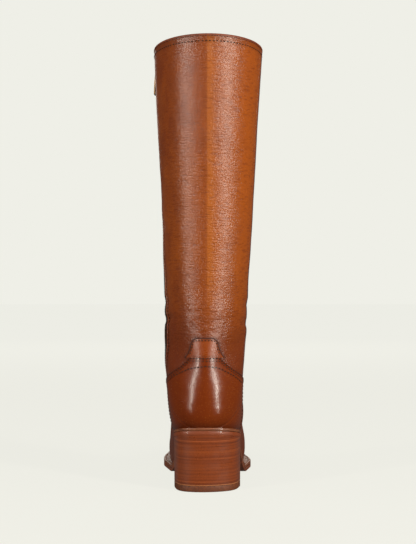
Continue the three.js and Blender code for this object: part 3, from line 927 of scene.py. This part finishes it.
seam_lap = sweep("side_seam_lap", along_skin(side_seam, -0.1), rounded(2.6, 0.75))
smooth(seam_lap, 60)
finish(seam_lap, edge_tan)
beside_seam = [side + Vector((0, 1, 0)) * 2.6 * MM for side in side_seam]
stitches("side_seam_stitches", side_seam, tree_of(seam_lap), dark_thread,
         STITCH_PITCH, 2.4, 1.4, 1.0)
stitches("side_panel_stitches", [on_skin(p) for p in beside_seam], skin, dark_thread,
         STITCH_PITCH, 2.3, 0.7)

tail_lap = sweep("inner_seam_lap", along_skin(zip_tail, -0.1), rounded(2.4, 0.7))
smooth(tail_lap, 60)
finish(tail_lap, edge_tan)
stitches("inner_seam_stitches", zip_tail, tree_of(tail_lap), dark_thread)

stitches("counter_stitches_upper", counter_row(1.8), counter_skin, dark_thread,
         3.6, 2.2, 1.15)
stitches("counter_stitches_lower", counter_row(4.4), counter_skin, dark_thread,
         3.6, 2.2, 0.8)
stitches("heel_pocket_stitches", arch_line, counter_skin, dark_thread,
         3.8, 2.3, 1.15)
for name, u in (("counter_front_stitches_inner", 0.022), ("counter_front_stitches_outer", 0.978)):
    line = [counter_place(u, 0.04 + 0.86 * i / 30, COUNTER) for i in range(31)]
    stitches(name, line, counter_skin, dark_thread, 3.6, 2.7, 1.1)
stitches("tab_stitches", tab_row, tab_skin, dark_thread, 3.2, 2.1, 1.1)

# ------------------------------------------------------------------ zip
TAPE_HALF = 4.3
TOOTH_PITCH = 1.35
TOOTH_SIDE = 0.75    # how far the teeth stand either side of the middle, in turn
TOOTH_LIFT = 0.95
GUARD_SIDE = 4.9     # from the zip's middle to a guard's
GUARD_ROW = 8.2      # from the zip's middle to the stitches beside it
zip_stations = along_skin(zip_line)
tape_piece = sweep("zip_tape", zip_stations, [
    (-TAPE_HALF, 0.05), (TAPE_HALF, 0.05), (TAPE_HALF, 0.55), (-TAPE_HALF, 0.55)])
smooth(tape_piece, 40)
finish(tape_piece, tape, instead_of=("zip_strip",))

deselect()
bpy.ops.mesh.primitive_cube_add(size=1)
tooth = bpy.context.object
bpy.ops.object.mode_set(mode="EDIT")
bpy.ops.mesh.select_all(action="SELECT")
bpy.ops.transform.resize(value=(2.7 * MM, 0.95 * MM, 0.9 * MM))
bpy.ops.mesh.bevel(offset=0.22 * MM, segments=1, affect="EDGES")
bpy.ops.object.mode_set(mode="OBJECT")
teeth = bmesh.new()
for i, (point, direction) in enumerate(spaced(zip_line, TOOTH_PITCH * MM)):
    near, outwards = skin.find_nearest(point)[:2]
    along = (direction - outwards * direction.dot(outwards)).normalized()
    across = along.cross(outwards)
    turn = Matrix((across, along, outwards)).transposed().to_4x4()
    side = TOOTH_SIDE if i % 2 else -TOOTH_SIDE
    before = len(teeth.verts)
    teeth.from_mesh(tooth.data)
    teeth.verts.ensure_lookup_table()
    bmesh.ops.transform(
        teeth, verts=teeth.verts[before:],
        matrix=Matrix.Translation(near + across * side * MM + outwards * TOOTH_LIFT * MM) @ turn)
teeth_mesh = bpy.data.meshes.new("zip_teeth")
teeth.to_mesh(teeth_mesh)
teeth.free()
bpy.data.objects.remove(tooth)
teeth_piece = bpy.data.objects.new("zip_teeth", teeth_mesh)
bpy.context.scene.collection.objects.link(teeth_piece)
finish(teeth_piece, plain("zip_teeth", dye(70, 48, 28), dye(42, 28, 18), 0.35, 500, 0.02, 0.6))

for name, side in (("zip_guard_back", 1), ("zip_guard_front", -1)):
    guard = [point + sideways * side * (GUARD_SIDE + 0.25 * math.sin(i / 3.1)) * MM
             for i, (point, sideways, _) in enumerate(zip_stations)]
    strip = sweep(name, along_skin(guard, -0.05), rounded(2.6, 1.05))
    smooth(strip, 60)
    # Painted shade and burnished dye beside the zip.
    paint_burnish_and_shade(strip, [([point for point, _, _ in zip_stations], 4.0, 0.8)])
    finish(strip, tan)
    sewn = [on_skin(point + sideways * side * GUARD_ROW * MM)
            for point, sideways, _ in zip_stations]
    stitches(name + "_stitches", sewn, skin, dark_thread)
end_stop = sweep("zip_end_patch", along_skin([inner_point(14, z) for z in (103, 101, 99, 97)]),
                 rounded(9.5, 1.3))
smooth(end_stop, 60)
finish(end_stop, edge_tan)

slider = recast("zip_slider", "zip_slider_body", 0.35, 3)
finish(slider, brass, instead_of=("zip_slider",))
pull = recast("zip_pull", "zip_pull_tab", 0.22, 3)
finish(pull, brass, body=PULL, instead_of=("zip_pull",))

# ------------------------------------------------------------------ sole
insole = recast("insole", "insole_sock", 0.6)
finish(insole, lining_leather, instead_of=("insole",))
welt = recast("midsole", "welt_and_midsole", 0.55, 3)
finish(welt, welt_edge_finish, instead_of=("midsole",))
outsole = recast("outsole", "outsole_leather", 0.12, 2)
finish(outsole, sole_edge_finish, instead_of=("outsole",))

welt_line = []
for side in (1, -1):
    half = [24 + (SOLE_FRONT / MM - 27) * math.sin(i / 60 * math.pi / 2) for i in range(61)]
    if side < 0:
        half.reverse()
    for y in half:
        edge = welt_edge(y * MM, side)
        inward = 2.6 * MM * min(1.0, abs(edge + 9 * MM) / (12 * MM))
        welt_line.append(Vector((edge - side * inward, y * MM, feather(y * MM))))
stitches("welt_stitches", welt_line, tree_of(welt), tan_thread, 4.2, 2.9, 0.9)

# ------------------------------------------------------------------ stacked heel
heel = recast("heel_block", "heel_stack", 0)
heel_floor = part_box("heel_block")[0][2]
LIFTS = 16
SEAT = 64.5          # height that the lifts would reach if the seat were level
FIRST_JOINT = -1.7   # how far the joints are off an even spacing
JOINT_HALF = 0.4     # half the height of a joint's dark line
FLUSH = 0.7          # how far the top of the stack stands out, to meet the outsole's edge
FLARE_START, FLARE_TALL = 46, 16     # where it begins to stand out, and over what height
PRESS = 0.45         # how far its top is pressed up against the outsole
BREAST = 40          # distance forward past which nothing stands out
STACK_MIDDLE = Vector((-0.003, 0.012, 0))
joints = [heel_floor + (SEAT * MM - heel_floor) * (i + 1) / (LIFTS + 1) + FIRST_JOINT * MM
          for i in range(LIFTS)]
active(heel)
bpy.ops.object.mode_set(mode="EDIT")
for joint in joints:
    for off in (-JOINT_HALF, 0, JOINT_HALF):
        bpy.ops.mesh.select_all(action="SELECT")
        bpy.ops.mesh.bisect(plane_co=(0, 0, joint + off * MM), plane_no=(0, 0, 1))
bpy.ops.object.mode_set(mode="OBJECT")
# The stack is trimmed flush with the outsole at its top, and pressed up against it.
rising = [vertex.normal.z > 0.3 for vertex in heel.data.vertices]
for vertex, rises in zip(heel.data.vertices, rising):
    if rises:
        vertex.co.z += PRESS * MM
    if vertex.co.y < BREAST * MM:
        out = vertex.co - STACK_MIDDLE
        out.z = 0
        flare = (vertex.co.z - FLARE_START * MM) / (FLARE_TALL * MM)
        vertex.co += out.normalized() * FLUSH * MM * min(max(flare, 0), 1)
layer = heel.data.attributes.new("joint", "FLOAT", "POINT")
for i, vertex in enumerate(heel.data.vertices):
    layer.data[i].value = 1.0 if min(abs(vertex.co.z - j) for j in joints) < 0.02 * MM else 0.0
smooth(heel, 12)
finish(heel, stacked_leather(), instead_of=("heel_block",))
top_lift = recast("top_lift", "top_lift_rubber", 0.5, 3)
finish(top_lift, rubber, instead_of=("top_lift",))

# ------------------------------------------------------------------ floor, light and camera
FLOOR_TONE = 0.07
FLOOR_NEAR, FLOOR_FAR = dye(230, 230, 222), dye(236, 236, 228)
PAPER = dye(239, 239, 231)
deselect()
bpy.ops.mesh.primitive_plane_add(size=14, location=(0, 0, 0))
floor = bpy.context.object
floor.name = "floor"
deselect()
bpy.ops.mesh.primitive_uv_sphere_add(segments=48, ring_count=24, radius=9)
backdrop = bpy.context.object
backdrop.name = "backdrop"
paper = Finish("backdrop_paper")
backdrop.data.materials.append(paper.show(
    Base_Color=(0, 0, 0, 1), Emission_Color=PAPER, Emission_Strength=1.0, Specular_IOR_Level=0.0))
# The floor glows nearly as bright as the backdrop, so that it shows only where it is in shadow.
ground = Finish("floor_paper")
away = ground.add("ShaderNodeVectorMath", {"operation": "LENGTH"}, {0: ground.place}, out=1)
glow = ground.blend(ground.between(away, 0.8, 3.2), FLOOR_NEAR, FLOOR_FAR)
floor.data.materials.append(ground.show(
    Base_Color=(FLOOR_TONE, FLOOR_TONE, FLOOR_TONE * 0.97, 1), Roughness=1.0,
    Specular_IOR_Level=0.0, Emission_Color=glow, Emission_Strength=1.0))
for piece in (floor, backdrop):
    for ray in ("diffuse", "glossy", "transmission", "volume_scatter"):
        setattr(piece, "visible_" + ray, False)
backdrop.visible_shadow = False

LIGHT_TINT = (1.0, 0.94, 0.84)
EYE = (0.0004, -1.236, 0.220)
LENS, SENSOR = 79.94, 36
scene = bpy.context.scene
scene.view_settings.view_transform = "Standard"
scene.view_settings.look = "None"
world = bpy.data.worlds.new("studio")
world.use_nodes = True
world.node_tree.nodes["Background"].inputs["Color"].default_value = (1.0, 0.97, 0.93, 1)
world.node_tree.nodes["Background"].inputs["Strength"].default_value = 0.07
scene.world = world


def softbox(name, bearing, away, height, wide, tall, power, mirrored=False):
    """A soft light; bearing is degrees round from behind the heel, positive to the lateral side."""
    turn = math.radians(bearing)
    data = bpy.data.lights.new(name, "AREA")
    data.shape, data.size, data.size_y = "RECTANGLE", wide, tall
    data.energy, data.color = power, LIGHT_TINT
    lamp = bpy.data.objects.new(name, data)
    scene.collection.objects.link(lamp)
    lamp.location = (away * math.sin(turn), -away * math.cos(turn), height)
    aim = Vector((0, 0, 0.24)) - lamp.location
    lamp.rotation_euler = aim.to_track_quat("-Z", "Y").to_euler()
    lamp.visible_glossy = mirrored


softbox("lateral_strip", 47, 1.5, 0.62, 0.13, 1.5, 31, mirrored=True)
softbox("medial_strip", -50, 1.5, 0.62, 0.11, 1.5, 20, mirrored=True)
softbox("lateral_fill", 85, 1.6, 0.7, 0.9, 1.4, 5)
softbox("medial_fill", -100, 1.8, 0.7, 0.8, 1.2, 4)
softbox("back_fill", 0, 1.6, 1.3, 1.0, 1.0, 7)
softbox("front_fill", 180, 2.2, 1.3, 1.6, 1.6, 16, mirrored=True)

camera_data = bpy.data.cameras.new("camera")
camera_data.sensor_width = SENSOR
camera_data.lens = LENS
camera = bpy.data.objects.new("camera", camera_data)
camera.location = EYE
camera.rotation_euler = (math.radians(90), 0, 0)
scene.collection.objects.link(camera)
scene.camera = camera
